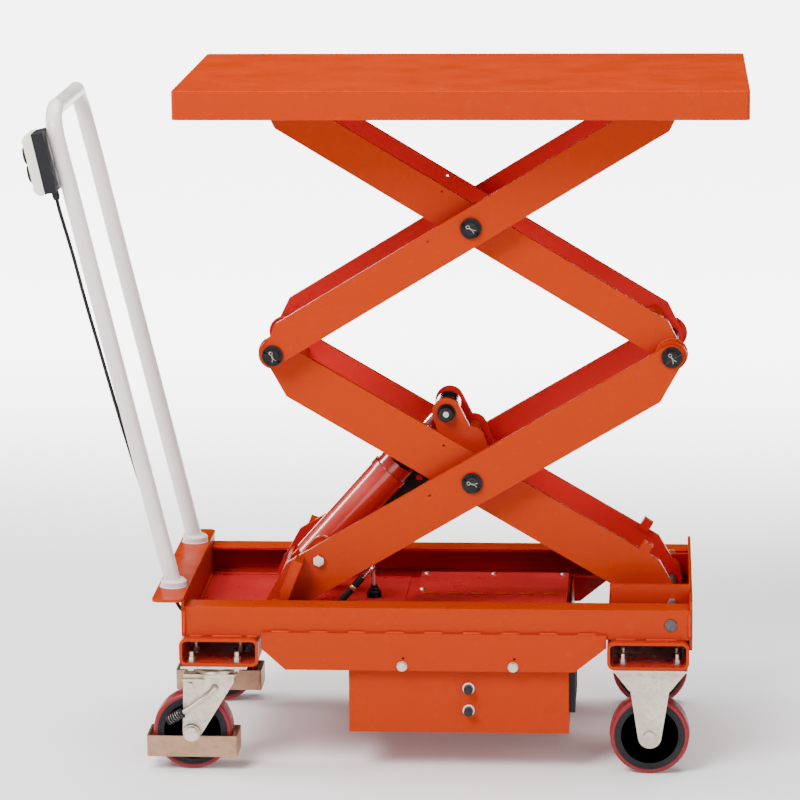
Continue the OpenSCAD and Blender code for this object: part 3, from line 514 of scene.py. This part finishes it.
# ---------------------------------------------------------------- hydraulics beside the ram
hose_end = Vector(mm(-50.5, -10, 275))
HOSE_LEAN = math.radians(41)
hose_dir = Vector((math.sin(HOSE_LEAN), 0, math.cos(HOSE_LEAN)))
crimp = [(0.0, -0.002), (0.0078, -0.002)]
for k in range(5):
    h = k * 0.0042
    crimp += [(0.0085, 0.001 + h), (0.0085, 0.0028 + h), (0.0079, 0.0036 + h)]
crimp += [(0.0068, 0.0235), (0.0068, 0.0262), (0.0, 0.0262)]
turned("hose_ferrule", "base", M["chrome"], [(crimp, hose_end, hose_dir)], 24)
band = [(0.0, 0), (0.0064, 0), (0.0069, 0.001), (0.0069, 0.0055), (0.0064, 0.0065), (0.0, 0.0065)]
turned("hose_band", "base", M["brass"], [(band, Vector(mm(-70, -10, 252.5)), hose_dir)], 24)
knob = [(0.0, 0), (0.0125, 0), (0.0125, 0.003)]
for k in range(3):
    h = k * 0.0022
    knob += [(0.0112, 0.0035 + h), (0.0122, 0.0042 + h), (0.0122, 0.0052 + h)]
knob += [(0.0085, 0.011), (0.0085, 0.0145), (0.006, 0.0165), (0.006, 0.02), (0.0, 0.02)]
turned("valve_knob", "base", M["black_steel"], [(knob, mm(-36, 30, 229), (0, 0, 1))], 20)
stem = [(0.0, 0), (0.0024, 0), (0.0024, 0.034), (0.0034, 0.034), (0.0034, 0.037), (0.0, 0.0375)]
turned("valve_stem", "base", M["zinc"], [(stem, mm(-36, 30, 246), (0, 0, 1))], 12)
RAM_LOW = joint_at("ram_swing")
ram_axis = Vector(JOINTS["ram_stroke"]["axis"])
wiper = [(0.0164, 0), (0.021, 0), (0.022, 0.0012), (0.022, 0.003), (0.0185, 0.0045), (0.0164, 0.0045)]
WIPER_AT = 0.188                     # from the ram's lower pin
turned("rod_wiper", "ram_barrel", M["rubber"],
       [(wiper, RAM_LOW + ram_axis * WIPER_AT, ram_axis)], 48)


# ---------------------------------------------------------------- casters
BALLS = 22


def caster_trim(name, body):
    """The swivel bearing: a ring of balls in a lipped cup."""
    swivel = joint_at(body + "_swivel")
    bm = bmesh.new()
    for k in range(BALLS):
        a = 2 * math.pi * k / BALLS
        lathe_into(bm, [(0, -0.0028), (0.002, -0.002), (0.0028, 0), (0.002, 0.002), (0, 0.0028)],
                   (swivel.x + 0.0315 * math.cos(a), swivel.y + 0.0315 * math.sin(a), 0.1668), (0, 0, 1), 10)
    lathe_into(bm, [(0.0335, 0.1632), (0.0365, 0.1632), (0.038, 0.166), (0.0365, 0.1695), (0.0335, 0.1695)],
               (swivel.x, swivel.y, 0), (0, 0, 1), 48)
    return new_object(name, bm, body, M["zinc"])


def lever_grip(name, body):
    """A ribbed sleeve on the end of a brake lever, which lies on the same side of both casters."""
    hole = joint_at(body + "_lever")
    start = Vector((hole.x - 0.052, hole.y - 0.0408, hole.z - 0.0395))
    profile = [(0.0, -0.001), (0.0062, -0.001)]
    for k in range(7):
        h = k * 0.004
        profile += [(0.0086, 0.0005 + h), (0.0086, 0.0022 + h), (0.0074, 0.0030 + h)]
    profile += [(0.0070, 0.0290), (0.0, 0.0296)]
    return turned(name, body, M["grey_plastic"],
                  [(profile, start, (-0.866, 0, -0.5))], 24)


for body in ("near", "far"):
    caster_trim("caster_bearing_" + body, "caster_" + body)
    lever_grip("brake_grip_" + body, "brake_" + body)
for body in ("wheel_left_near", "wheel_left_far", "wheel_right_near", "wheel_right_far"):
    hub = joint_at(body + "_spin")
    face = 0.0209                    # from the middle of the wheel
    seal = [(0.0085, 0), (0.0128, 0), (0.0128, 0.0008), (0.0105, 0.0012), (0.0085, 0.0008)]
    rib = [(0.0470, 0), (0.0475, 0.0011), (0.0490, 0.0011), (0.0495, 0)]
    groove = [(0.0530, 0), (0.0534, 0.0008), (0.0545, 0.0008), (0.0549, 0)]
    shapes = [(p, (hub.x, hub.y + side * face, hub.z), (0, side, 0))
              for side in (-1, 1) for p in (seal, rib, groove)]
    turned(body + "_rings", body, M["cast_core"], shapes, 64)

# ---------------------------------------------------------------- louvres on the battery lid
lid_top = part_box("battery_lid")[1].z
SLOT_X, SLOT_PITCH, SLOTS = 0.062, 0.0395, 6
bm = bmesh.new()
for k in range(SLOTS):
    x = SLOT_X + SLOT_PITCH * k
    hood = [Vector((x + 0.0022 * (j - 6), 0.0215, lid_top - 0.0005)) for j in range(13)]
    tube_into(bm, hood, lambda j: 0.0012 + 0.0026 * math.sin(math.pi * j / 12) ** 0.5, 10)
new_object("lid_louvres", bm, "base", paint)

# ---------------------------------------------------------------- buttons and control box
LEAN = math.radians(12.2)
BOX_MID = Vector(mm(-531.5, -150, 995.5))
out_dir = Vector((-math.cos(LEAN), 0, -math.sin(LEAN)))
long_dir = Vector((-math.sin(LEAN), 0, math.cos(LEAN)))


def on_box(out, y, z):
    return BOX_MID + out_dir * out / 1000 + Vector((0, y / 1000, 0)) + long_dir * z / 1000


COVER = 36.4                         # out from BOX_MID, just inside the cover's face
boot = [(0.0112, 0), (0.0158, 0), (0.0158, 0.0018), (0.0150, 0.0046), (0.0136, 0.0064), (0.0122, 0.0070),
        (0.0114, 0.0066)]
turned("button_boots", "base", M["rubber"],
       [(boot, on_box(COVER, 0, z), out_dir) for z in (15, -15)], 40)
for body, z in (("raise_button", 15), ("lower_button", -15)):
    dome = [(0.0108, -0.002), (0.0108, 0.0035), (0.0100, 0.0052), (0.0078, 0.0068), (0.0042, 0.0078),
            (0.0, 0.0081)]
    turned(body + "_cap", body, M["black_plastic"],
           [(dome, on_box(37, 0, z), out_dir)], 40)
screw = [(0.0, 0.0004), (0.0008, 0.0004), (0.0008, 0.0009), (0.0026, 0.0009), (0.0030, 0.0),
         (0.0030, -0.002)]
turned("cover_screws", "base", M["zinc"],
       [(screw, on_box(36.5, y, z), out_dir) for y in (-21, 21) for z in (-39, 39)], 16)
washer = [(0.0074, 0), (0.0094, 0), (0.0096, 0.0006), (0.0096, 0.0026), (0.0090, 0.0034),
          (0.0074, 0.0034)]
turned("button_washers", "base", M["white_plastic"],
       [(washer, mm(134, -212, z), (0, -1, 0)) for z in (104, 141)], 32)
bm = bmesh.new()
for side in (-1, 1):
    ring_bead_into(bm, (-0.3518, side * 0.150, 0.2925), (0, 0, 1), 0.0212, 0.0016)
new_object("handle_foot_welds", bm, "base", M["white_paint"])

# ---------------------------------------------------------------- stage and lights
bm = bmesh.new()
bmesh.ops.create_grid(bm, x_segments=2, y_segments=2, size=60)
floor_mesh = bpy.data.meshes.new("floor")
bm.to_mesh(floor_mesh)
bm.free()
floor = bpy.data.objects.new("floor", floor_mesh)
bpy.context.scene.collection.objects.link(floor)
pale = Shader("pale_floor", (0.9, 0.9, 0.9), 0.9)
pale.bsdf.inputs["Emission Color"].default_value = (1, 1, 1, 1)
behind = pale.node("ShaderNodeSeparateXYZ")
around = pale.node("ShaderNodeVectorMath", operation="LENGTH")
brightest = pale.node("ShaderNodeMath", operation="MAXIMUM")
for k, (source, start, end, low, high) in enumerate((
        (behind.outputs["Y"], 0.8, 3.6, 0.12, 6.0), (around.outputs["Value"], 3.2, 10.0, 0.0, 2.2))):
    glow = pale.node("ShaderNodeMapRange", interpolation_type="SMOOTHSTEP")
    glow.inputs["From Min"].default_value, glow.inputs["From Max"].default_value = start, end
    glow.inputs["To Min"].default_value, glow.inputs["To Max"].default_value = low, high
    pale.link(source, glow.inputs["Value"])
    pale.link(glow.outputs["Result"], brightest.inputs[k])
pale.link(pale.coords, behind.inputs[0])
pale.link(pale.coords, around.inputs[0])
pale.link(brightest.outputs[0], pale.bsdf.inputs["Emission Strength"])
floor_mesh.materials.append(pale.mat)

world = bpy.data.worlds.new("studio")
bpy.context.scene.world = world
world.use_nodes = True
wt = world.node_tree
sky_at, split, span = (wt.nodes.new(k) for k in (
    "ShaderNodeTexCoord", "ShaderNodeSeparateXYZ", "ShaderNodeMapRange"))
span.inputs["From Max"].default_value = 0.8
span.inputs["To Min"].default_value, span.inputs["To Max"].default_value = 0.08, 0.75
wt.links.new(sky_at.outputs["Generated"], split.inputs[0])
wt.links.new(split.outputs["Z"], span.inputs["Value"])
wt.links.new(span.outputs["Result"], wt.nodes["Background"].inputs["Strength"])


def area(name, place, target, size, power):
    """A square lamp at place that faces target."""
    data = bpy.data.lights.new(name, "AREA")
    data.size, data.energy = size, power
    obj = bpy.data.objects.new(name, data)
    obj.location = place
    obj.rotation_euler = (Vector(target) - Vector(place)).to_track_quat("-Z", "Y").to_euler()
    bpy.context.scene.collection.objects.link(obj)


area("key", (-2.2, -3.2, 4.2), (0, 0, 0.5), 2.5, 440)
area("fill", (3.2, -4.0, 1.8), (0, 0, 0.5), 3.0, 125)
area("top", (0.3, 0.6, 4.5), (0, 0, 0.8), 3.0, 300)
area("side", (-2.7, 0.2, 1.95), (0, 0, 0.45), 0.7, 45)
